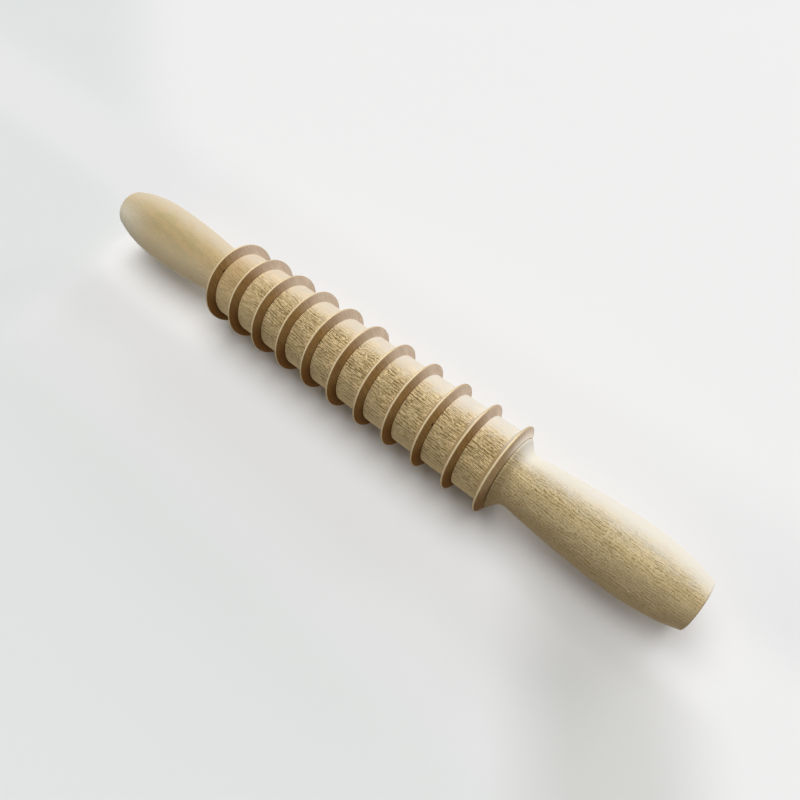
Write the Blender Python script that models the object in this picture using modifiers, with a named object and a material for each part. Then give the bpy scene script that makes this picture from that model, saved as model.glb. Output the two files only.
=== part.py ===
"""Pasta cutter rolling pin, in metres with +Z up.

The pin lies along X and the origin is the middle of its axis. Eleven thin rings with sloping flanks
sit on the core of the barrel. The barrel turns on a steel spindle that joins the two handles, and a
flanged bush and a thrust washer at each end carry it. The near end is at +X.
"""
import math

import bpy

COLLECTION = "pasta_cutter_rolling_pin"

# Facets round every turned piece. A flat facet of each ring faces straight down.
SIDES = 48
SHARP_ANGLE = math.radians(30)
MERGE_DISTANCE = 0.00001

# Clearance left between pieces that touch on the real pin
FIT = 0.0003

# Barrel: the drum and the cutting rings round it
DRUM_RADIUS = 0.0183
DRUM_EDGE_BREAK = 0.0004
RING_COUNT = 11
RING_PITCH = 0.0174
RING_HEIGHT = 0.0042
RIM_WIDTH = 0.0008
RIM_EDGE_BREAK = 0.00015
FLANK_RUN = 0.0021

# Running gap between the barrel's end and the collar of a handle
RUNNING_GAP = 0.0004

# Spindle and the pieces that turn on it
SPINDLE_RADIUS = 0.0040
SPINDLE_CHAMFER = 0.0005
SPINDLE_GRIP = 0.055
SPINDLE_CLEARANCE = 0.00035
CORE_BORE_CLEARANCE = 0.0020
BUSH_WALL = 0.0043
BUSH_LENGTH = 0.016
BUSH_CHAMFER = 0.0005
FLANGE_RIM = 0.0038
FLANGE_THICKNESS = 0.0012
WASHER_THICKNESS = 0.0010

# Handle, from its collar out to its end. The collar stays a step inside the drum's surface.
COLLAR_STEP = 0.0003
COLLAR_LAND = 0.0004
COVE_LENGTH = 0.0066
COVE_POWER = 2.2
NECK_RADIUS = 0.0131
SWELL_LENGTH = 0.0500
BELLY_RADIUS = 0.0164
TAIL_LENGTH = 0.0319
TAIL_POWER = 2.3
END_RADIUS = 0.0118
END_EDGE_RADIUS = 0.0010
DRILL_POINT_SLOPE = math.tan(math.radians(31))

# Points along the curved stretches of a handle
COVE_STEPS = 5
SWELL_STEPS = 6
TAIL_STEPS = 6
EDGE_STEPS = 3

# Colours, roughness and metallic values
BEECH = (0.58, 0.44, 0.27, 1.0)
BEECH_END_GRAIN = (0.36, 0.23, 0.13, 1.0)
STEEL = (0.55, 0.55, 0.56, 1.0)
NYLON = (0.78, 0.76, 0.70, 1.0)

# Radii that follow from the sizes above
ring_radius = DRUM_RADIUS + RING_HEIGHT
ring_bore_radius = DRUM_RADIUS + FIT
collar_radius = DRUM_RADIUS - COLLAR_STEP
handle_bore_radius = SPINDLE_RADIUS + FIT
core_bore_radius = SPINDLE_RADIUS + CORE_BORE_CLEARANCE
bush_bore_radius = SPINDLE_RADIUS + SPINDLE_CLEARANCE
bush_radius = bush_bore_radius + BUSH_WALL
bush_seat_radius = bush_radius + FIT
flange_radius = bush_radius + FLANGE_RIM
recess_radius = flange_radius + FIT

# Stations along the axis, measured from the middle of the pin towards either end
core_end = (RING_COUNT - 1) / 2 * RING_PITCH + RIM_WIDTH / 2 + FLANK_RUN
handle_face = core_end + RUNNING_GAP
washer_outer_face = handle_face - FIT
washer_inner_face = washer_outer_face - WASHER_THICKNESS
flange_outer_face = washer_inner_face - FIT
flange_inner_face = flange_outer_face - FLANGE_THICKNESS
recess_floor = flange_inner_face - FIT
bush_inner_end = flange_inner_face - BUSH_LENGTH
bush_seat_floor = bush_inner_end - FIT
spindle_end = handle_face + SPINDLE_GRIP

# Stations along a handle, measured from its collar face
handle_bore_depth = SPINDLE_GRIP + FIT
neck_station = COLLAR_LAND + COVE_LENGTH
belly_station = neck_station + SWELL_LENGTH
handle_length = belly_station + TAIL_LENGTH


def remove_old_objects():
    """Clear the scene, so that the pin is the only thing in it."""
    for old in list(bpy.data.objects):
        bpy.data.objects.remove(old, do_unlink=True)


def make_collection():
    """The collection that holds the pin."""
    pin = bpy.data.collections.new(COLLECTION)
    bpy.context.scene.collection.children.link(pin)
    return pin


def make_material(name, colour, roughness, metallic=0.0):
    """A Principled BSDF with one colour, roughness and metallic value."""
    material = bpy.data.materials.new(name)
    material.use_nodes = True
    shader = material.node_tree.nodes["Principled BSDF"]
    shader.inputs["Base Color"].default_value = colour
    shader.inputs["Roughness"].default_value = roughness
    shader.inputs["Metallic"].default_value = metallic
    material.diffuse_color = colour
    return material


def make_axis(name, collection):
    """An empty on the pin's axis. Its local Z runs along world +X, and a facet faces down."""
    axis = bpy.data.objects.new(name, None)
    axis.rotation_mode = "ZYX"
    axis.rotation_euler = (0.0, math.pi / 2, math.pi / SIDES)
    axis.empty_display_size = ring_radius
    collection.objects.link(axis)
    return axis


def turned_mesh(name, profile, closed):
    """Turn a profile of (radius, height) points about Z.

    The outer side of the profile runs from top to bottom. A closed profile comes back to its first
    point, as on a ring, and an open one starts and ends on the axis.
    """
    outline = bpy.data.meshes.new(name + "_outline")
    points = [(radius, 0.0, height) for radius, height in profile]
    edges = [(i, i + 1) for i in range(len(points) - 1)]
    if closed:
        edges.append((len(points) - 1, 0))
    outline.from_pydata(points, edges, [])

    lathe = bpy.data.objects.new(name + "_lathe", outline)
    bpy.context.scene.collection.objects.link(lathe)
    screw = lathe.modifiers.new("turn", "SCREW")
    screw.axis = "Z"
    screw.angle = 2 * math.pi
    screw.steps = SIDES
    screw.render_steps = SIDES
    screw.use_merge_vertices = True
    screw.merge_threshold = MERGE_DISTANCE

    evaluated = lathe.evaluated_get(bpy.context.evaluated_depsgraph_get())
    mesh = bpy.data.meshes.new_from_object(evaluated)
    mesh.name = name
    mesh.shade_smooth()
    mesh.set_sharp_from_angle(angle=SHARP_ANGLE)
    bpy.data.objects.remove(lathe, do_unlink=True)
    bpy.data.meshes.remove(outline)
    return mesh


def place(name, mesh, material, axis, station, collection, flipped=False):
    """Put a piece on an axis. A flipped piece faces the far end."""
    piece = bpy.data.objects.new(name, mesh)
    collection.objects.link(piece)
    if not mesh.materials:
        mesh.materials.append(material)
    piece.parent = axis
    piece.location = (0.0, 0.0, station)
    if flipped:
        piece.rotation_euler = (math.pi, 0.0, 0.0)
    return piece


def mirrored_loop(upper_half):
    """Close a profile that is the same above and below its middle.

    The upper half runs outwards from the bore to the outer side.
    """
    lower_half = [(radius, -height) for radius, height in reversed(upper_half)]
    return upper_half + lower_half


def core_profile():
    """The drum, with a recess and a bush seat bored into each end."""
    return mirrored_loop([
        (core_bore_radius, bush_seat_floor),
        (bush_seat_radius, bush_seat_floor),
        (bush_seat_radius, recess_floor),
        (recess_radius, recess_floor),
        (recess_radius, core_end),
        (DRUM_RADIUS - DRUM_EDGE_BREAK, core_end),
        (DRUM_RADIUS, core_end - DRUM_EDGE_BREAK),
    ])


def ring_profile():
    """A ring with a narrow rim, whose flanks slope out to a wide foot on the drum."""
    flank_slope = FLANK_RUN / RING_HEIGHT
    foot_half_width = RIM_WIDTH / 2 + flank_slope * (RING_HEIGHT - FIT)
    rim_half_width = RIM_WIDTH / 2
    return mirrored_loop([
        (ring_bore_radius, foot_half_width),
        (ring_radius - RIM_EDGE_BREAK, rim_half_width + flank_slope * RIM_EDGE_BREAK),
        (ring_radius, rim_half_width - RIM_EDGE_BREAK),
    ])


def spindle_profile():
    """A plain rod with a small chamfer at each end."""
    upper_half = [
        (0.0, spindle_end),
        (SPINDLE_RADIUS - SPINDLE_CHAMFER, spindle_end),
        (SPINDLE_RADIUS, spindle_end - SPINDLE_CHAMFER),
    ]
    return mirrored_loop(upper_half)


def bush_profile():
    """A sleeve with a flange at its outer end, measured from the flange's inner face."""
    return [
        (flange_radius, FLANGE_THICKNESS),
        (flange_radius, 0.0),
        (bush_radius, 0.0),
        (bush_radius, -BUSH_LENGTH + BUSH_CHAMFER),
        (bush_radius - BUSH_CHAMFER, -BUSH_LENGTH),
        (bush_bore_radius, -BUSH_LENGTH),
        (bush_bore_radius, FLANGE_THICKNESS),
    ]


def washer_profile():
    """A flat washer, measured from its inner face."""
    return [
        (flange_radius, WASHER_THICKNESS),
        (flange_radius, 0.0),
        (bush_bore_radius, 0.0),
        (bush_bore_radius, WASHER_THICKNESS),
    ]


def end_edge_points():
    """The rounded edge of a handle's flat end, a quarter circle."""
    centre_radius = END_RADIUS - END_EDGE_RADIUS
    centre_height = handle_length - END_EDGE_RADIUS
    points = []
    for step in range(EDGE_STEPS + 1):
        angle = math.pi / 2 * (1 - step / EDGE_STEPS)
        radius = centre_radius + END_EDGE_RADIUS * math.cos(angle)
        points.append((radius, centre_height + END_EDGE_RADIUS * math.sin(angle)))
    return points


def tail_points():
    """The tail, which curves in from the belly to the rounded edge of the end."""
    tail_end = handle_length - END_EDGE_RADIUS
    points = []
    for step in range(1, TAIL_STEPS):
        share = 1 - step / TAIL_STEPS
        radius = BELLY_RADIUS + (END_RADIUS - BELLY_RADIUS) * share ** TAIL_POWER
        points.append((radius, belly_station + (tail_end - belly_station) * share))
    return points


def swell_points():
    """The long swell between belly and neck, a quarter of a sine wave."""
    points = []
    for step in range(SWELL_STEPS):
        share = 1 - step / SWELL_STEPS
        radius = NECK_RADIUS + (BELLY_RADIUS - NECK_RADIUS) * math.sin(math.pi / 2 * share)
        points.append((radius, neck_station + SWELL_LENGTH * share))
    return points


def cove_points():
    """The cove between neck and collar, which steepens towards the collar."""
    points = []
    for step in range(COVE_STEPS + 1):
        share = step / COVE_STEPS
        radius = NECK_RADIUS + (collar_radius - NECK_RADIUS) * share ** COVE_POWER
        points.append((radius, neck_station - COVE_LENGTH * share))
    return points


def handle_profile():
    """A handle, from the middle of its flat end down to the tip of its blind bore."""
    bore_tip = handle_bore_depth + handle_bore_radius * DRILL_POINT_SLOPE
    profile = [(0.0, handle_length)]
    profile += end_edge_points()
    profile += tail_points()
    profile += swell_points()
    profile += cove_points()
    profile += [
        (collar_radius, 0.0),
        (handle_bore_radius, 0.0),
        (handle_bore_radius, handle_bore_depth),
        (0.0, bore_tip),
    ]
    return profile


def build_rings(axis, material, collection):
    """The cutting rings, numbered from the far end."""
    mesh = turned_mesh("cutting_ring", ring_profile(), closed=True)
    for number in range(RING_COUNT):
        station = (number - (RING_COUNT - 1) / 2) * RING_PITCH
        name = "cutting_ring_%02d" % (number + 1)
        place(name, mesh, material, axis, station, collection)


def build_pair(name, mesh, material, axis, station, collection):
    """One piece at the near end and its twin at the far end."""
    place("near_" + name, mesh, material, axis, station, collection)
    place("far_" + name, mesh, material, axis, -station, collection, flipped=True)


def build_pin():
    remove_old_objects()
    collection = make_collection()
    barrel_axis = make_axis("barrel_axis", collection)
    grip_axis = make_axis("grip_axis", collection)
    beech = make_material("beech", BEECH, roughness=0.55)
    end_grain = make_material("beech_end_grain", BEECH_END_GRAIN, roughness=0.7)
    steel = make_material("spindle_steel", STEEL, roughness=0.3, metallic=1.0)
    nylon = make_material("bush_nylon", NYLON, roughness=0.4)

    core = turned_mesh("barrel_core", core_profile(), closed=True)
    place("barrel_core", core, beech, barrel_axis, 0.0, collection)
    build_rings(barrel_axis, end_grain, collection)
    bush = turned_mesh("bush", bush_profile(), closed=True)
    build_pair("bush", bush, nylon, barrel_axis, flange_inner_face, collection)

    spindle = turned_mesh("spindle", spindle_profile(), closed=False)
    place("spindle", spindle, steel, grip_axis, 0.0, collection)
    washer = turned_mesh("thrust_washer", washer_profile(), closed=True)
    build_pair("thrust_washer", washer, steel, grip_axis, washer_inner_face, collection)
    handle = turned_mesh("handle", handle_profile(), closed=False)
    build_pair("handle", handle, beech, grip_axis, handle_face, collection)


build_pin()
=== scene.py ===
"""Looks for the pasta cutter rolling pin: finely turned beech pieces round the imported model.

Metres, +Z up. The pin lies along X with its near end at +X, and rests on the floor on its rings.
A station is a place along X. An angle round the pin is measured from straight up towards +Y.
"""
import math
import random

import bmesh
import bpy
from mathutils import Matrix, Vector


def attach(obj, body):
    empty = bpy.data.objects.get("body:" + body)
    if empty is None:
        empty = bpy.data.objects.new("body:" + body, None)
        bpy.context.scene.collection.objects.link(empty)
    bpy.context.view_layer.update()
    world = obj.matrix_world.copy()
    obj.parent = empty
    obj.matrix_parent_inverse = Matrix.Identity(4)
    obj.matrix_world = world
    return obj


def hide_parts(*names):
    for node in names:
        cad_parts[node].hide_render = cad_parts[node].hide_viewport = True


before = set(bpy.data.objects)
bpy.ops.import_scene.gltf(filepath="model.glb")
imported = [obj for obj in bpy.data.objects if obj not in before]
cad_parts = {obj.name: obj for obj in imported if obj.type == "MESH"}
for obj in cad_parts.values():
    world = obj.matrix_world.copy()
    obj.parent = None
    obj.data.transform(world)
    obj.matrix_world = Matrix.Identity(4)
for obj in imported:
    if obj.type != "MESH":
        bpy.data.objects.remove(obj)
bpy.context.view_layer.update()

# Sizes of the CAD model
DRUM_RADIUS = 0.0183
RING_COUNT = 11
RING_PITCH = 0.0174
RING_RADIUS = 0.0225
RIM_WIDTH = 0.0008
FLANK_RUN = 0.0021
CORE_END = 0.0895
CORE_BORE_RADIUS = 0.0060
BUSH_SEAT_RADIUS = 0.00895
BUSH_SEAT_FLOOR = 0.0697
RECESS_RADIUS = 0.01275
RECESS_FLOOR = 0.0860
HANDLE_FACE = 0.0899
HANDLE_BORE_RADIUS = 0.0043
HANDLE_BORE_DEPTH = 0.0553
COLLAR_RADIUS = 0.0180
COLLAR_LAND = 0.0004
COVE_LENGTH = 0.0066
COVE_POWER = 2.2
NECK_RADIUS = 0.0131
SWELL_LENGTH = 0.0500
BELLY_RADIUS = 0.0164
TAIL_LENGTH = 0.0319
TAIL_POWER = 2.3
END_RADIUS = 0.0118
END_EDGE_RADIUS = 0.0010

# Edges of the finished wood. The rim's rounding starts about square to the flank, at an angle in degrees
RIM_EDGE = 0.00018
RIM_EDGE_START = 25
DRUM_EDGE = 0.0004
FOOT_SINK = 0.00005
COLLAR_EDGE = 0.0002

# The near collar's face leans outside its flat radius. The lean starts where the cosine of the angle
# from the side with the closest gap is LEAN_START, and is whole LEAN_RUN further on
COLLAR_FLAT_RADIUS = 0.0150
COLLAR_LEAN = 0.0003
LEAN_START = -0.7
LEAN_RUN = 0.9

# Wear within a depth of the rims: nicks, in radians along the rim and metres deep, that reach a
# little past the middle of the rim from one side, and a slow and a quick wander along X
WEAR_DEPTH = 0.0009
NICK_COUNT = 9
NICK_WIDTHS = (0.012, 0.035)
NICK_DEPTHS = (0.00005, 0.00018)
NICK_OVERLAP = 0.0002
SLOW_WANDER = 0.00003
QUICK_WANDER = 0.00002

# Facets round a piece, points along a profile, and the least angle of a sharp edge in degrees
RING_SIDES = 360
DRUM_SIDES = 240
HANDLE_SIDES = 240
FLANK_SHARES = (0.15, 0.3, 0.45, 0.6, 0.75, 0.9)
RIM_STEPS = 4
COVE_STEPS = 24
SWELL_STEPS = 48
TAIL_STEPS = 40
END_STEPS = 8
SHARP_ANGLE = 32

# Sides of the pin, as angles round it in degrees: the low side, in shade; the lit side, where the light
# falls, for the side grain and for the rings; and the side where the near collar's gap is closest
LOW_SIDE = -110
LIT_SIDE = 55
RING_LIT_SIDE = 60
CLOSE_GAP_SIDE = 60

# Colours of the side grain. Each wood has its light and dark figure; its painted highlight on the lit side,
# at the pin's far and near ends; its painted tone on the low side, which lifts the shade there on the barrel
# and the far handle and deepens it on the near handle; the painted highlight on the raised edge of a torn
# line; and the bottom of a torn line, darker wood with painted shade in it. Then come the painted pale glow
# on the far handle's low tail, a darker tone on the barrel's first groove, and the tones of wood cut across
# the grain and of the flat-cut ends
BARREL_COLOURS = {
    "light": (0.98, 0.75, 0.41, 1),
    "dark": (0.81, 0.59, 0.305, 1),
    "highlight_far": (0.635, 0.54, 0.415, 1),
    "highlight_near": (0.67, 0.625, 0.545, 1),
    "low": (0.98, 0.77, 0.43, 1),
    "crest_highlight": (0.97, 0.82, 0.50, 1),
    "groove_wood_and_shade": (0.27, 0.145, 0.004, 1),
}
NEAR_COLOURS = {
    "light": (0.975, 0.765, 0.42, 1),
    "dark": (0.67, 0.515, 0.265, 1),
    "highlight_far": (0.725, 0.685, 0.60, 1),
    "highlight_near": (0.725, 0.685, 0.60, 1),
    "low": (0.595, 0.455, 0.262, 1),
    "crest_highlight": (0.97, 0.82, 0.50, 1),
    "groove_wood_and_shade": (0.29, 0.175, 0.03, 1),
}
FAR_COLOURS = {
    "light": (0.645, 0.475, 0.25, 1),
    "dark": (0.53, 0.42, 0.22, 1),
    "highlight_far": (0.62, 0.53, 0.39, 1),
    "highlight_near": (0.62, 0.53, 0.39, 1),
    "low": (0.95, 0.80, 0.52, 1),
    "crest_highlight": (0.97, 0.82, 0.50, 1),
    "groove_wood_and_shade": (0.29, 0.175, 0.03, 1),
}
# A painted pale glow on the low side of the far handle's tail, then a darker tone on the barrel's first
# groove
FAR_TAIL_GLOW = (0.97, 0.90, 0.72, 1)
FIRST_GROOVE_TONE = (0.583, 0.385, 0.178, 1)
ACROSS = (0.36, 0.235, 0.105, 1)
END_LIGHT = (0.66, 0.49, 0.27, 1)
END_DARK = (0.42, 0.275, 0.125, 1)

# Colours of the rings: light and dark end grain and the painted shade at the root, then those they share
RING_COLOURS = {
    "light": (0.45, 0.265, 0.098, 1),
    "dark": (0.29, 0.165, 0.058, 1),
    "root": (0.10, 0.045, 0.012, 1),
}
# The last ring's flank and root are painted lighter, as painted light
LAST_RING_LIT_COLOURS = {
    "light": (0.58, 0.40, 0.21, 1),
    "dark": (0.43, 0.29, 0.15, 1),
    "root": (0.32, 0.20, 0.085, 1),
}
# The rim's pale tone, and the darker one it takes on the lit side: painted light and shade that even it out
RIM = (0.99, 0.815, 0.515, 1)
RIM_TONED_DOWN_LIT = (0.54, 0.415, 0.275, 1)
# Painted highlight: a lighter copy of the flank's end grain, with its streaks, for the lit side
FLANK_LIT = (0.71, 0.585, 0.475, 1)
FLANK_LIT_STREAK = (0.555, 0.43, 0.325, 1)
# Painted shade on the flanks' low side
FLANK_LOW_SHADE = (0.27, 0.105, 0.02, 1)
# Painted glow low on the last ring's flank
FLANK_GLOW = (0.98, 0.89, 0.76, 1)
# The back flanks painted lighter, and lighter still on the lit side, as painted light
FLANK_BACK_LIGHTENED = (0.62, 0.45, 0.235, 1)
FLANK_BACK_LIT = (0.98, 0.90, 0.76, 1)
# Chips, painted dark as the shade in their hollows
CHIP_SHADE = (0.05, 0.024, 0.008, 1)

# Colours of the inner pieces
STEEL_DARK = (0.46, 0.46, 0.47, 1)
STEEL_LIGHT = (0.62, 0.62, 0.63, 1)
NYLON_DARK = (0.74, 0.72, 0.65, 1)
NYLON_LIGHT = (0.82, 0.80, 0.74, 1)

# How strongly wood mirrors, the length of one wave of the wave texture at scale 1, and how far a
# torn line's raised edge is shifted against the line, in radians of a wave
WOOD_GLOSS = 0.05
ONE_WAVE = 0.314
EDGE_SHIFT = 1.5

# Heights over the drum. Painted shade at a ring's root: how far it reaches up the flank, its strength,
# and how directly a spot faces the lit side where it begins and where it is whole. Below ROOT_WHOLE
# it has all its strength, and the painted glow of the last ring's flank below GLOW_WHOLE
ROOT_SHADES = ((0.0034, 0.6, -0.3, -0.9), (0.00045, 0.7, 0.8, 0.3))
ROOT_WHOLE = 0.0002
GLOW_REACH = 0.0036
GLOW_WHOLE = 0.0004

# How far below and above the foot of the rim's rounding the rim's tone sets in, and how ragged a
# chip's edge is and how far its middle lies inside the ring's foot
RIM_TONE_BELOW = 0.0001
RIM_TONE_ABOVE = 0.00008
CHIP_RAGGED = 0.0012
CHIP_INSET = 0.0001

# Floor: its reach and colours, with painted light that thins the pin's shadow beside it and under the far
# handle. The light that bounces from it is darker than what the camera sees
FLOOR_REACH = 4.0
SHEET = (0.89, 0.89, 0.89, 1)
SHEET_COOL = (0.80, 0.82, 0.81, 1)
SHEET_PAST_FAR_END = (0.77, 0.795, 0.785, 1)
SHEET_PAINTED_LIGHT_UNDER_FAR_HANDLE = (0.99, 0.985, 0.98, 1)
SHEET_BEHIND = (0.83, 0.83, 0.835, 1)
SHEET_BAND = (0.685, 0.685, 0.67, 1)
BOUNCE = (0.45, 0.42, 0.38, 1)

# Directions on the floor across the zone past the far end and across the grey band
PAST_FAR_END = (-0.581, -0.814, 0)
ACROSS_BAND = (0.842, 0.539, 0)

# World: the strength of its light, and the grey of the backdrop that the camera sees
SURROUND_STRENGTH = 0.06
BACKDROP = (0.86, 0.86, 0.86, 1)

# Camera: its lens and sensor in millimetres, its place and the spot it looks at
LENS = 28.6
SENSOR = 36.0
CLIP_START = 0.01
CAMERA_PLACE = (0.13881, -0.13046, 0.24824)
CAMERA_AIM = (0.02838, -0.00172, 0.0)


# Meshes

def turned(name, profile, sides, closed=False, vary=None):
    """Turn a profile of (station, radius) points about X into a smooth mesh object.

    vary(station, radius, angle) gives how far a point moves along X and outwards.
    """
    vertices, rows, faces = [], [], []
    for station, radius in profile:
        row = []
        for k in range(sides if radius > 0 else 1):
            angle = 2 * math.pi * k / sides
            shift, swell = vary(station, radius, angle) if vary and radius > 0 else (0.0, 0.0)
            row.append(len(vertices))
            reach = radius + swell
            vertices.append((station + shift, reach * math.sin(angle), reach * math.cos(angle)))
        rows.append(row)
    pairs = list(zip(rows, rows[1:]))
    if closed:
        pairs.append((rows[-1], rows[0]))
    for one, two in pairs:
        for k in range(sides):
            corners = [one[k % len(one)], one[(k + 1) % len(one)],
                       two[(k + 1) % len(two)], two[k % len(two)]]
            faces.append(list(dict.fromkeys(corners)))

    mesh = bpy.data.meshes.new(name)
    mesh.from_pydata(vertices, [], faces)
    shell = bmesh.new()
    shell.from_mesh(mesh)
    bmesh.ops.recalc_face_normals(shell, faces=shell.faces)
    shell.to_mesh(mesh)
    shell.free()
    mesh.shade_smooth()
    mesh.set_sharp_from_angle(angle=math.radians(SHARP_ANGLE))
    return linked(name, mesh)


def linked(name, data):
    """A new object with its mesh, lamp or camera, in the scene."""
    thing = bpy.data.objects.new(name, data)
    bpy.context.scene.collection.objects.link(thing)
    return thing


def arc(centre, radius, start, end, steps):
    """Points on a circle in the profile's plane, as (station, radius). Angles in degrees."""
    points = []
    for step in range(steps + 1):
        angle = math.radians(start + (end - start) * step / steps)
        points.append((centre[0] + radius * math.cos(angle), centre[1] + radius * math.sin(angle)))
    return points


def ring_profile():
    """One tapered ring round station 0, from its far foot over the rim to its near foot."""
    foot = RIM_WIDTH / 2 + FLANK_RUN
    slope = FLANK_RUN / (RING_RADIUS - DRUM_RADIUS)
    shoulder = RIM_WIDTH / 2 - RIM_EDGE
    half = [(foot + FOOT_SINK * slope, DRUM_RADIUS - FOOT_SINK)]
    for share in FLANK_SHARES:
        radius = DRUM_RADIUS + (RING_RADIUS - DRUM_RADIUS) * share
        half.append((foot - FLANK_RUN * share, radius))
    half += arc((shoulder, RING_RADIUS - RIM_EDGE), RIM_EDGE, RIM_EDGE_START, 90, RIM_STEPS)
    far_half = [(-station, radius) for station, radius in half]
    return far_half + half[::-1]


def ring_wear(seed):
    """Small nicks and a slight wander along the rim of one ring."""
    dice = random.Random(seed)
    nicks = [(dice.uniform(0, 2 * math.pi), dice.uniform(*NICK_WIDTHS), dice.uniform(*NICK_DEPTHS),
              dice.choice((-1, 1))) for _ in range(NICK_COUNT)]
    phase = dice.uniform(0, 2 * math.pi)

    def vary(station, radius, angle):
        near_rim = max(0.0, (radius - RING_RADIUS + WEAR_DEPTH) / WEAR_DEPTH)
        if near_rim == 0.0:
            return 0.0, 0.0
        wander = SLOW_WANDER * math.sin(3 * angle + phase) + QUICK_WANDER * math.sin(11 * angle + 2 * phase)
        swell = 0.0
        for place, width, depth, side in nicks:
            gap = math.remainder(angle - place, 2 * math.pi) / width
            if abs(gap) < 3 and station * side > -NICK_OVERLAP:
                swell -= depth * math.exp(-gap * gap)
        return wander * near_rim, swell * near_rim
    return vary


def core_profile():
    """The drum with its bore, bush seats and recesses, as a closed loop."""
    half = [
        (0.0, DRUM_RADIUS), (CORE_END - DRUM_EDGE, DRUM_RADIUS), (CORE_END, DRUM_RADIUS - DRUM_EDGE),
        (CORE_END, RECESS_RADIUS), (RECESS_FLOOR, RECESS_RADIUS), (RECESS_FLOOR, BUSH_SEAT_RADIUS),
        (BUSH_SEAT_FLOOR, BUSH_SEAT_RADIUS), (BUSH_SEAT_FLOOR, CORE_BORE_RADIUS), (0.0, CORE_BORE_RADIUS),
    ]
    far_half = [(-station, radius) for station, radius in half[1:-1]]
    return half + far_half[::-1]


def handle_profile():
    """A handle from its bore, over the collar, cove, swell and tail, to the middle of its end."""
    neck = COLLAR_LAND + COVE_LENGTH
    belly = neck + SWELL_LENGTH
    length = belly + TAIL_LENGTH
    tail_end = length - END_EDGE_RADIUS
    points = [(HANDLE_BORE_DEPTH, 0.0), (HANDLE_BORE_DEPTH, HANDLE_BORE_RADIUS), (0.0, HANDLE_BORE_RADIUS)]
    points += [(0.0, COLLAR_FLAT_RADIUS), (0.0, COLLAR_RADIUS - COLLAR_EDGE), (COLLAR_EDGE, COLLAR_RADIUS)]
    for step in range(COVE_STEPS + 1):
        share = 1 - step / COVE_STEPS
        points.append((neck - COVE_LENGTH * share,
                       NECK_RADIUS + (COLLAR_RADIUS - NECK_RADIUS) * share ** COVE_POWER))
    for step in range(1, SWELL_STEPS + 1):
        share = step / SWELL_STEPS
        points.append((neck + SWELL_LENGTH * share,
                       NECK_RADIUS + (BELLY_RADIUS - NECK_RADIUS) * math.sin(math.pi / 2 * share)))
    for step in range(1, TAIL_STEPS):
        share = step / TAIL_STEPS
        points.append((belly + (tail_end - belly) * share,
                       BELLY_RADIUS + (END_RADIUS - BELLY_RADIUS) * share ** TAIL_POWER))
    points += arc((tail_end, END_RADIUS - END_EDGE_RADIUS), END_EDGE_RADIUS, 90, 0, END_STEPS)
    points.append((length, 0.0))
    return points


def collar_lean(station, radius, angle):
    """The near collar's outer edge, cut out of square so that its gap almost closes on one side."""
    if abs(station) > HANDLE_FACE + COLLAR_LAND or radius <= COLLAR_FLAT_RADIUS:
        return 0.0, 0.0
    facing = math.cos(angle - math.radians(CLOSE_GAP_SIDE))
    share = min(1.0, max(0.0, (facing - LEAN_START) / LEAN_RUN))
    return -COLLAR_LEAN * share, 0.0


# Nodes of a material

def add(tree, kind, inputs=None, **settings):
    """A node with its settings, and its inputs set to values or linked to sockets."""
    node = tree.nodes.new(kind)
    for key, value in settings.items():
        setattr(node, key, value)
    for key, value in (inputs or {}).items():
        if isinstance(value, bpy.types.NodeSocket):
            tree.links.new(value, node.inputs[key])
        else:
            node.inputs[key].default_value = value
    return node


def calc(tree, operation, one, two=0.0):
    return add(tree, "ShaderNodeMath", {0: one, 1: two}, operation=operation).outputs[0]


def vector_calc(tree, operation, *inputs):
    return add(tree, "ShaderNodeVectorMath", dict(enumerate(inputs)), operation=operation).outputs


def product(tree, *factors):
    """Several values multiplied together."""
    result = factors[0]
    for factor in factors[1:]:
        result = calc(tree, "MULTIPLY", result, factor)
    return result


def total(tree, *parts):
    """The sum of (value, weight) parts."""
    result = 0.0
    for value, weight in parts:
        result = calc(tree, "ADD", result, calc(tree, "MULTIPLY", value, weight))
    return result


def centred(tree, value, middle=0.5):
    """A value less its middle, so that it swings to both sides of none."""
    return calc(tree, "SUBTRACT", value, middle)


def ramp(tree, value, low, high, out_low=0.0, out_high=1.0):
    """Value taken smoothly from low..high to out_low..out_high."""
    node = add(tree, "ShaderNodeMapRange", {"Value": value, "From Min": low, "From Max": high,
               "To Min": out_low, "To Max": out_high}, interpolation_type="SMOOTHSTEP")
    return node.outputs[0]


def mix(tree, share, one, two):
    """A colour that goes from one at share 0 to two at share 1."""
    return add(tree, "ShaderNodeMix", {0: share, 6: one, 7: two}, data_type="RGBA").outputs[2]


def scaled(tree, vector, scale, turn=(0, 0, 0), move=(0, 0, 0)):
    node = add(tree, "ShaderNodeMapping", {"Vector": vector, "Scale": scale, "Rotation": turn,
               "Location": move})
    return node.outputs[0]


def noise(tree, vector, scale, detail=2.0, roughness=0.5, output="Fac"):
    node = add(tree, "ShaderNodeTexNoise", {"Vector": vector, "Scale": scale, "Detail": detail,
               "Roughness": roughness})
    return node.outputs[output]


def stretched(tree, vector, scale, detail=2.0, roughness=0.5, turn=(0, 0, 0), output="Fac"):
    """Noise that is as fine along each direction of a vector as the three parts of scale."""
    return noise(tree, scaled(tree, vector, scale, turn=turn), 1.0, detail, roughness, output)


def part_along(tree, vector, axis):
    return add(tree, "ShaderNodeSeparateXYZ", {0: vector}).outputs[axis]


def distance_along(tree, vector, direction):
    return vector_calc(tree, "DOT_PRODUCT", vector, direction)["Value"]


def towards(tree, vector, degrees):
    """How far a vector points to an angle round the pin, from -1 to 1 for a unit vector."""
    angle = math.radians(degrees)
    return distance_along(tree, vector, (0.0, math.sin(angle), math.cos(angle)))


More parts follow.
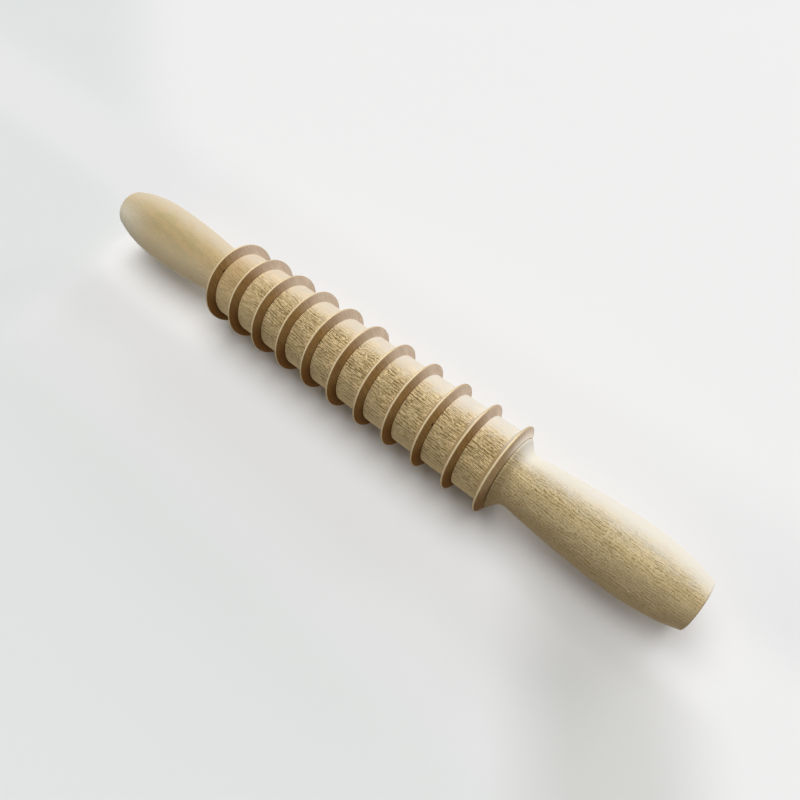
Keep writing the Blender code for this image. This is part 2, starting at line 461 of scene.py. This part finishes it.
def outward(tree, coords):
    """The direction straight out from the pin's axis, and the distance from it."""
    flat = vector_calc(tree, "MULTIPLY", coords, (0, 1, 1))[0]
    return vector_calc(tree, "NORMALIZE", flat)[0], vector_calc(tree, "LENGTH", flat)["Value"]


def new_material(name):
    """A material with its tree, its shader and the coordinates that ride with the piece."""
    material = bpy.data.materials.new(name)
    material.use_nodes = True
    tree = material.node_tree
    return material, tree, tree.nodes["Principled BSDF"], add(tree, "ShaderNodeTexCoord")


def cover(tree, shader, colour, roughness, relief, bump, depth):
    """Give a shader its colour, its roughness, and a relief with a strength and a depth in metres."""
    lift = add(tree, "ShaderNodeBump", {"Strength": bump, "Distance": depth, "Height": relief})
    tree.links.new(colour, shader.inputs["Base Color"])
    tree.links.new(roughness, shader.inputs["Roughness"])
    tree.links.new(lift.outputs[0], shader.inputs["Normal"])


# Wood along the grain

def grain_flow(tree, coords, tilt, offset, curl=1.0):
    """Coordinates that run along the grain, tilted a little to the axis and bent as much as curl says."""
    straight = scaled(tree, coords, (1, 1, 1), turn=tilt, move=offset)
    cloudy = stretched(tree, straight, (95, 170, 60), output="Color")
    bend = vector_calc(tree, "SUBTRACT", cloudy, (0.5, 0.5, 0.5))[0]
    small = vector_calc(tree, "MULTIPLY", bend, (0.001 * curl, 0.0012 * curl, 0.001 * curl))[0]
    return vector_calc(tree, "ADD", straight, small)[0]


def figure(tree, flow, mottle):
    """Year rings, fibres, patches and speckles, and the shade that they make with a cloudy mottle."""
    rings = {"Vector": flow, "Scale": 70.0, "Distortion": 1.2, "Detail": 1.0, "Detail Scale": 1.0}
    years = add(tree, "ShaderNodeTexWave", rings, wave_type="RINGS", rings_direction="X",
                wave_profile="SIN").outputs["Fac"]
    fibre = stretched(tree, flow, (260, 3400, 900), 3.0, 0.6)
    cloud = stretched(tree, flow, (45, 120, 120))
    patch = stretched(tree, flow, (120, 260, 60))
    speckle = stretched(tree, flow, (1300, 2000, 700), 1.0)
    shade = total(tree, (years, 0.12), (fibre, 0.70), (centred(tree, speckle, 0.35), 0.5),
                  (centred(tree, patch), 0.5), (centred(tree, cloud), mottle))
    return years, fibre, patch, speckle, ramp(tree, shade, 0.22, 0.78)


def torn_lines(tree, flow, period, breaks_per_metre, sparse, waviness):
    """Thin wavy lines along the grain that come and go, and the raised edge on one side of each, painted as a
    highlight.

    The lines are one period apart. They bend faster along the grain for a greater waviness, and
    break more often for more breaks_per_metre. A greater sparse leaves fewer of them.
    """
    place = scaled(tree, flow, (waviness, ONE_WAVE / period, 12))
    breaks = stretched(tree, flow, (breaks_per_metre, 1.5 / period, 60), 2.0, 0.6)
    shown = ramp(tree, breaks, sparse, sparse + 0.13)
    lines = []
    for phase in (0.0, EDGE_SHIFT):
        bands = {"Vector": place, "Scale": 1.0, "Phase Offset": phase, "Distortion": 4.2, "Detail": 3.0,
                 "Detail Scale": 1.6, "Detail Roughness": 0.65}
        waves = add(tree, "ShaderNodeTexWave", bands, wave_type="BANDS", bands_direction="Y",
                    wave_profile="SIN").outputs["Fac"]
        lines.append(product(tree, ramp(tree, waves, 0.64, 0.94), shown))
    return lines


def torn_grain(tree, flow, period, waviness):
    """The grooves of torn grain and their raised edges: coarse lines, and finer and fainter ones."""
    grooves, crests = torn_lines(tree, flow, period, 2.6 * waviness, 0.40, waviness)
    elsewhere = scaled(tree, flow, (1.3, 1, 1), move=(0.3, 0.2, 0.1))
    fine_grooves, fine_crests = torn_lines(tree, elsewhere, period * 0.55, 4 * waviness, 0.42, waviness)
    grooves = calc(tree, "MAXIMUM", grooves, product(tree, fine_grooves, 0.9))
    crests = calc(tree, "MAXIMUM", crests, product(tree, fine_crests, 0.75))
    teeth = ramp(tree, stretched(tree, flow, (1200, 1500, 300), 1.0), 0.36, 0.56, 0.75, 1.0)
    return product(tree, grooves, teeth), crests


def tinted(tree, wood, out, station, colour, face, around, along, share):
    """Wood that takes a share of a colour on the side that faces an angle, over a stretch of the pin.

    around gives how directly a spot must face that angle for the stain's least and for its whole part,
    and that least part. along gives the stations where the stain begins and where it is whole.
    """
    reach = ramp(tree, station, along[0], along[1], 0.0, share)
    facing = ramp(tree, towards(tree, out, face), around[0], around[1], around[2], 1.0)
    return mix(tree, product(tree, reach, facing), wood, colour)


def painted_highlight_share(tree, flow, out, highlight_from):
    """The share of painted highlight, which begins streakily where a spot faces the lit side by as much as
    the last argument says.
    """
    streaky = stretched(tree, flow, (170, 420, 60), 3.0, 0.65, turn=(0, 0, 0.35))
    facing = total(tree, (towards(tree, out, LIT_SIDE), 1.0), (centred(tree, streaky), 0.5))
    return ramp(tree, facing, highlight_from, 0.98)


def torn_strength(tree, out, station, patch, sides_only, highlight_share, torn):
    """How strongly the grain is torn: most towards one angle, less in some patches and under the painted
    highlight.
    """
    calm_at, torn_at, calm_share = torn["calm"]
    return product(tree, ramp(tree, towards(tree, out, torn["face"]), 0.42, 0.86, 0.06, torn["most"]),
                   ramp(tree, station, calm_at, torn_at, calm_share, 1.0),
                   ramp(tree, patch, 0.38, 0.58, 0.75, 1.0), sides_only,
                   ramp(tree, highlight_share, 0.0, 1.0, 1.0, 0.25))


def side_grain(name, colours, grain, torn, highlight_from, low_side, tint=None):
    """Bare beech, cut along the grain, and darker where the cut runs across it, with painted light and shade
    by the side it faces.

    grain holds how the wood lies in the piece: rolled about X in degrees, tilted about Y and Z in
    radians and offset, with its curl and its mottle. torn holds the angle that the torn lines face,
    their most strength, their period and waviness, the strength of their relief, and calm: two
    stations, with the share of strength that is left at the first, while the second has all of it.
    low_side has how directly a spot must face the low side to begin and to end to take its painted
    low-side tone, and the share it takes. The last argument holds what the patch tinting above takes.
    """
    material, tree, shader, where = new_material(name)
    coords = where.outputs["Object"]
    flow = grain_flow(tree, coords, (math.radians(grain["roll"]), *grain["tilt"]), grain["offset"],
                      grain["curl"])
    years, fibre, patch, speckle, shade = figure(tree, flow, grain["mottle"])
    out = outward(tree, coords)[0]
    station = part_along(tree, coords, "X")
    facing_along = calc(tree, "ABSOLUTE", part_along(tree, where.outputs["Normal"], "X"))
    sides_only = ramp(tree, facing_along, 0.98, 0.90)

    wood = mix(tree, shade, colours["light"], colours["dark"])
    # Painted tone on the low side, which lies in shade: it lifts the shade on the barrel and the far handle,
    # and deepens it as painted shade on the near handle
    lowness = ramp(tree, towards(tree, out, LOW_SIDE), low_side[0], low_side[1], 0.0, low_side[2])
    wood = mix(tree, lowness, wood, colours["low"])
    if tint:
        wood = tinted(tree, wood, out, station, **tint)
    wood = mix(tree, ramp(tree, facing_along, 0.45, 0.95, 0.0, 0.6), wood, ACROSS)

    # Painted highlight on the lit side, whiter towards the pin's near end
    pale = mix(tree, ramp(tree, station, -CORE_END, CORE_END), colours["highlight_far"], colours["highlight_near"])
    highlight_share = painted_highlight_share(tree, flow, out, highlight_from)
    wood = mix(tree, highlight_share, wood, pale)

    strength = torn_strength(tree, out, station, patch, sides_only, highlight_share, torn)
    grooves, crests = torn_grain(tree, flow, torn["period"], torn["waviness"])
    # Painted highlight on the torn lines' raised edges, and in their grooves darker wood with painted shade
    wood = mix(tree, product(tree, crests, product(tree, strength, 0.7)), wood, colours["crest_highlight"])
    wood = mix(tree, product(tree, grooves, strength), wood, colours["groove_wood_and_shade"])
    cut_end = mix(tree, total(tree, (years, 0.6), (speckle, 0.4)), END_LIGHT, END_DARK)
    wood = mix(tree, sides_only, cut_end, wood)

    lines = product(tree, total(tree, (crests, 0.5), (grooves, -1.0)), strength)
    relief = total(tree, (lines, 1.0), (fibre, 0.2))
    cover(tree, shader, wood, ramp(tree, fibre, 0.3, 0.7, 0.42, 0.54), relief, torn["relief"], 0.0005)
    shader.inputs["Specular IOR Level"].default_value = WOOD_GLOSS
    return material


# Wood of the rings

def flank_wood(tree, colours, shade, side, low, facing, radius, glow):
    """End grain with painted light and shade: a highlight on the lit side, shade on the low side and at the
    root, a glow low on the last ring's flank, and lighter back flanks.
    """
    wood = mix(tree, shade, colours["light"], colours["dark"])
    # Painted highlight on the lit side
    lit_copy = mix(tree, shade, FLANK_LIT, FLANK_LIT_STREAK)
    wood = mix(tree, product(tree, ramp(tree, side, 0.1, 1.05), 0.95), wood, lit_copy)
    # Painted shade on the low side
    wood = mix(tree, ramp(tree, low, 0.6, 1.0, 0.0, 0.6), wood, FLANK_LOW_SHADE)
    # Painted shade down at the roots, wide on the low side
    for reach, strength, begin, whole in ROOT_SHADES:
        depth = ramp(tree, radius, DRUM_RADIUS + reach, DRUM_RADIUS + ROOT_WHOLE, 0.0, strength)
        wood = mix(tree, product(tree, depth, ramp(tree, side, begin, whole)), wood, colours["root"])
    # Painted glow low on the last ring's flank, towards the lit side
    washed = ramp(tree, radius, DRUM_RADIUS + GLOW_REACH, DRUM_RADIUS + GLOW_WHOLE, 0.0, glow)
    wood = mix(tree, product(tree, washed, ramp(tree, side, 0.1, 0.75)), wood, FLANK_GLOW)
    # Back flanks painted lighter, most on the lit side
    back = mix(tree, ramp(tree, side, 0.1, 0.7), FLANK_BACK_LIGHTENED, FLANK_BACK_LIT)
    return mix(tree, ramp(tree, facing, -0.3, -0.6), wood, back)


def chipped(tree, wood, coords, speckle, chips):
    """Wood with ragged chips, painted dark as the shade in their hollows, each given by its place and its
    radius.
    """
    ragged = product(tree, centred(tree, speckle), CHIP_RAGGED)
    for place, size in chips:
        gap = vector_calc(tree, "DISTANCE", coords, place)["Value"]
        hole = ramp(tree, calc(tree, "ADD", gap, ragged), size, size * 0.6)
        wood = mix(tree, product(tree, hole, 0.85), wood, CHIP_SHADE)
    return wood


def ring_wood(name, colours, glow, chips):
    """End grain on the flanks and pale burnished wood on the rim, which is painted paler on its shaded side
    than on its lit side.

    glow is the share of a painted glow low on the flank, towards the lit side.
    """
    material, tree, shader, where = new_material(name)
    coords = where.outputs["Object"]
    flow = grain_flow(tree, coords, (0.0, 0.0, 0.0), (0.4, 0.06, 0.05))
    out, radius = outward(tree, coords)
    side = towards(tree, out, RING_LIT_SIDE)
    low = towards(tree, out, LOW_SIDE)
    facing = part_along(tree, where.outputs["Normal"], "X")

    years = stretched(tree, flow, (300, 2000, 190), 3.0, 0.65, turn=(0.5, 0, 0))
    speckle = noise(tree, flow, 2600, 2.0, 0.6)
    cloud = noise(tree, flow, 95)
    shade = ramp(tree, total(tree, (years, 0.8), (cloud, 0.35), (speckle, 0.3)), 0.55, 0.90)
    wood = flank_wood(tree, colours, shade, side, low, facing, radius, glow)

    rim_foot = RING_RADIUS - RIM_EDGE
    on_rim = ramp(tree, radius, rim_foot - RIM_TONE_BELOW, rim_foot + RIM_TONE_ABOVE)
    # Painted light and shade: the rim stays pale on its shaded side and is toned down on its lit side
    rim = mix(tree, ramp(tree, side, 0.50, 0.97), RIM, RIM_TONED_DOWN_LIT)
    wood = mix(tree, on_rim, wood, mix(tree, ramp(tree, speckle, 0.50, 0.80), rim, colours["light"]))
    wood = chipped(tree, wood, coords, speckle, chips)

    relief = total(tree, (years, 0.6), (speckle, 0.4))
    cover(tree, shader, wood, ramp(tree, speckle, 0.3, 0.7, 0.58, 0.74), relief, 0.4, 0.00015)
    shader.inputs["Specular IOR Level"].default_value = WOOD_GLOSS
    return material


# Inner pieces' materials

def brushed_steel(name):
    """Drawn bar with fine lines along it."""
    material, tree, shader, where = new_material(name)
    lines = stretched(tree, where.outputs["Object"], (60, 5200, 5200), 3.0)
    colour = mix(tree, lines, STEEL_DARK, STEEL_LIGHT)
    cover(tree, shader, colour, ramp(tree, lines, 0.3, 0.7, 0.24, 0.38), lines, 0.2, 0.00005)
    shader.inputs["Metallic"].default_value = 1.0
    return material


def moulded_nylon(name):
    """Off-white nylon with a faint eggshell surface."""
    material, tree, shader, where = new_material(name)
    skin = noise(tree, where.outputs["Object"], 1800)
    colour = mix(tree, skin, NYLON_DARK, NYLON_LIGHT)
    cover(tree, shader, colour, ramp(tree, skin, 0.3, 0.7, 0.36, 0.46), skin, 0.15, 0.00005)
    shader.inputs["Subsurface Weight"].default_value = 0.1
    shader.inputs["Subsurface Scale"].default_value = 0.002
    return material


# The pin's own materials

def ring_station(number):
    return (number - (RING_COUNT + 1) / 2) * RING_PITCH


def chip_place(number, radius, degrees):
    """A spot at the near foot of a ring."""
    angle = math.radians(degrees)
    station = ring_station(number) + RIM_WIDTH / 2 + FLANK_RUN - CHIP_INSET
    return (station, radius * math.sin(angle), radius * math.cos(angle))


barrel_beech = side_grain(
    "beech_barrel", BARREL_COLOURS, highlight_from=0.34, low_side=(0.45, 1.0, 1.0),
    grain={"roll": -35, "tilt": (0.0, 0.05), "offset": (0.0, 0.024, -0.031), "curl": 1.3, "mottle": 0.6},
    torn={"face": -38, "most": 0.89, "calm": (-0.088, -0.04, 0.4), "period": 0.0013, "waviness": 120,
          "relief": 1.0},
    # A darker tone on the barrel's first groove
    tint={"colour": FIRST_GROOVE_TONE, "face": -12, "around": (0.72, 0.97, 0.0), "along": (-0.0675, -0.0715),
           "share": 0.6})
near_beech = side_grain(
    "beech_near_handle", NEAR_COLOURS, highlight_from=0.12, low_side=(-0.2, 0.55, 0.75),
    grain={"roll": -35, "tilt": (0.02, 0.03), "offset": (0.4, 0.019, -0.036), "curl": 2.6, "mottle": 0.8},
    torn={"face": -38, "most": 0.82, "calm": (0.18, 0.13, 0.75), "period": 0.0012, "waviness": 300,
          "relief": 0.6})
far_beech = side_grain(
    "beech_far_handle", FAR_COLOURS, highlight_from=0.38, low_side=(0.05, 1.0, 1.0),
    grain={"roll": -25, "tilt": (0.05, 0.08), "offset": (-0.7, 0.021, -0.030), "curl": 3.0, "mottle": 1.3},
    torn={"face": -28, "most": 0.34, "calm": (-0.12, -0.10, 0.5), "period": 0.0013, "waviness": 100,
          "relief": 0.2},
    # A painted pale glow on the low side of the far handle's tail
    tint={"colour": FAR_TAIL_GLOW, "face": -110, "around": (-0.2, 0.6, 0.3), "along": (-0.140, -0.176),
           "share": 0.95})

chips = ((chip_place(9, 0.0187, -34), 0.0011), (chip_place(1, 0.0186, -27), 0.0009))
ring_beech = ring_wood("beech_rings", RING_COLOURS, 0.0, chips)
last_ring_beech = ring_wood("beech_last_ring", LAST_RING_LIT_COLOURS, 0.85, ())
steel = brushed_steel("spindle_steel")
nylon = moulded_nylon("bush_nylon")


# Pieces

def finish_piece(piece, material, body, node):
    piece.data.materials.append(material)
    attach(piece, body)
    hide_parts(node)


core = turned("turned_core", core_profile(), DRUM_SIDES, closed=True)
finish_piece(core, barrel_beech, "barrel", "barrel_core")

for number in range(1, RING_COUNT + 1):
    station = ring_station(number)
    ring = turned("turned_ring_%02d" % number, ring_profile(), RING_SIDES, closed=True,
                  vary=ring_wear(number))
    for vertex in ring.data.vertices:
        vertex.co.x += station
    wood = last_ring_beech if number == RING_COUNT else ring_beech
    finish_piece(ring, wood, "barrel", "cutting_ring_%02d" % number)

for end, material, direction, vary in (("near", near_beech, 1, collar_lean), ("far", far_beech, -1, None)):
    profile = [(direction * (HANDLE_FACE + station), radius) for station, radius in handle_profile()]
    handle = turned("turned_%s_handle" % end, profile, HANDLE_SIDES, vary=vary)
    finish_piece(handle, material, "grip", end + "_handle")

for node_name, material in (("spindle", steel), ("near_thrust_washer", steel), ("far_thrust_washer", steel),
                            ("near_bush", nylon), ("far_bush", nylon)):
    node_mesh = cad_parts[node_name].data
    node_mesh.materials.clear()
    node_mesh.materials.append(material)


# Floor, light and camera

def seen_directly(tree):
    """One for what the camera sees, in gloss too, and none for the light that bounces on."""
    path = add(tree, "ShaderNodeLightPath")
    direct = calc(tree, "MAXIMUM", path.outputs["Is Camera Ray"], path.outputs["Is Glossy Ray"])
    return calc(tree, "MAXIMUM", direct, path.outputs["Is Transmission Ray"])


def zone(tree, *edges):
    """One inside all of a zone's soft edges: each a distance, where it begins and where it is whole."""
    return product(tree, *(ramp(tree, distance, begin, whole) for distance, begin, whole in edges))


def floor_colour(tree):
    """The sheet's tone, with soft zones that are cooler or darker, painted light that thins the pin's shadow
    beside it and under the far handle, and a darker bounce.
    """
    coords = add(tree, "ShaderNodeTexCoord").outputs["Object"]
    along = part_along(tree, coords, "X")
    aside = part_along(tree, coords, "Y")
    past_end = distance_along(tree, coords, PAST_FAR_END)
    across = distance_along(tree, coords, ACROSS_BAND)
    zones = (
        # Cooler only from 6 cm off the pin's low side: nearer, the sheet stays pale, painted light that thins
        # the lamps' long soft shadow
        (SHEET_COOL, zone(tree, (aside, -0.06, -0.125))),
        (SHEET_PAST_FAR_END, zone(tree, (past_end, 0.06, 0.145), (along, -0.165, -0.215))),
        # Painted light that lifts the far handle's shadow
        (SHEET_PAINTED_LIGHT_UNDER_FAR_HANDLE, zone(tree, (along, -0.06, -0.11), (along, -0.20, -0.17),
                                      (aside, -0.045, -0.025), (aside, 0.01, -0.01))),
        (SHEET_BEHIND, zone(tree, (aside, 0.0, 0.03), (aside, 0.10, 0.045))),
        (SHEET_BAND, zone(tree, (across, 0.068, 0.110), (across, 0.172, 0.130), (aside, -0.014, -0.032))),
    )
    colour = SHEET
    for tone, share in zones:
        colour = mix(tree, share, colour, tone)
    return mix(tree, seen_directly(tree), BOUNCE, colour)


def build_floor():
    """A pale sheet under the rings that throws little light back up."""
    mesh = bpy.data.meshes.new("floor")
    level = -RING_RADIUS
    corners = [(-FLOOR_REACH, -FLOOR_REACH, level), (FLOOR_REACH, -FLOOR_REACH, level),
               (FLOOR_REACH, FLOOR_REACH, level), (-FLOOR_REACH, FLOOR_REACH, level)]
    mesh.from_pydata(corners, [], [(0, 1, 2, 3)])
    floor = linked("floor", mesh)
    material = bpy.data.materials.new("pale_sheet")
    material.use_nodes = True
    tree = material.node_tree
    shader = tree.nodes["Principled BSDF"]
    tree.links.new(floor_colour(tree), shader.inputs["Base Color"])
    shader.inputs["Roughness"].default_value = 0.9
    shader.inputs["Specular IOR Level"].default_value = 0.1
    mesh.materials.append(material)


def build_world():
    """An even white surround to light by, seen as a pale backdrop by the camera and in gloss."""
    world = bpy.data.worlds.new("surround")
    bpy.context.scene.world = world
    world.use_nodes = True
    tree = world.node_tree
    tree.nodes.clear()
    light = add(tree, "ShaderNodeBackground", {"Color": (1.0, 1.0, 1.0, 1), "Strength": SURROUND_STRENGTH})
    seen = add(tree, "ShaderNodeBackground", {"Color": BACKDROP, "Strength": 1.0})
    both = add(tree, "ShaderNodeMixShader", {0: seen_directly(tree), 1: light.outputs[0], 2: seen.outputs[0]})
    output = add(tree, "ShaderNodeOutputWorld")
    tree.links.new(both.outputs[0], output.inputs["Surface"])


def build_lamp(name, strength, spread, direction, colour):
    """A soft distant lamp that shines along a direction. spread is the angle it fills, in degrees."""
    lamp = bpy.data.lights.new(name, "SUN")
    lamp.energy = strength
    lamp.angle = math.radians(spread)
    lamp.color = colour
    holder = linked(name, lamp)
    holder.rotation_euler = Vector(direction).to_track_quat("-Z", "Y").to_euler()


def build_camera():
    """The photograph's view: from above the near end, off to the pin's -Y side."""
    lens = bpy.data.cameras.new("camera")
    lens.lens = LENS
    lens.sensor_width = SENSOR
    lens.clip_start = CLIP_START
    camera = linked("camera", lens)
    camera.location = CAMERA_PLACE
    camera.rotation_euler = (Vector(CAMERA_AIM) - camera.location).to_track_quat("-Z", "Y").to_euler()
    bpy.context.scene.camera = camera


build_floor()
build_world()
build_lamp("softbox_overhead", strength=2.35, spread=60, direction=(0.12, -0.12, -1.0),
           colour=(1.0, 1.0, 1.0))
build_lamp("window", strength=2.32, spread=50, direction=(-0.2, -1.0, -0.22), colour=(1.0, 0.99, 0.98))
build_camera()
bpy.context.scene.view_settings.view_transform = "Standard"
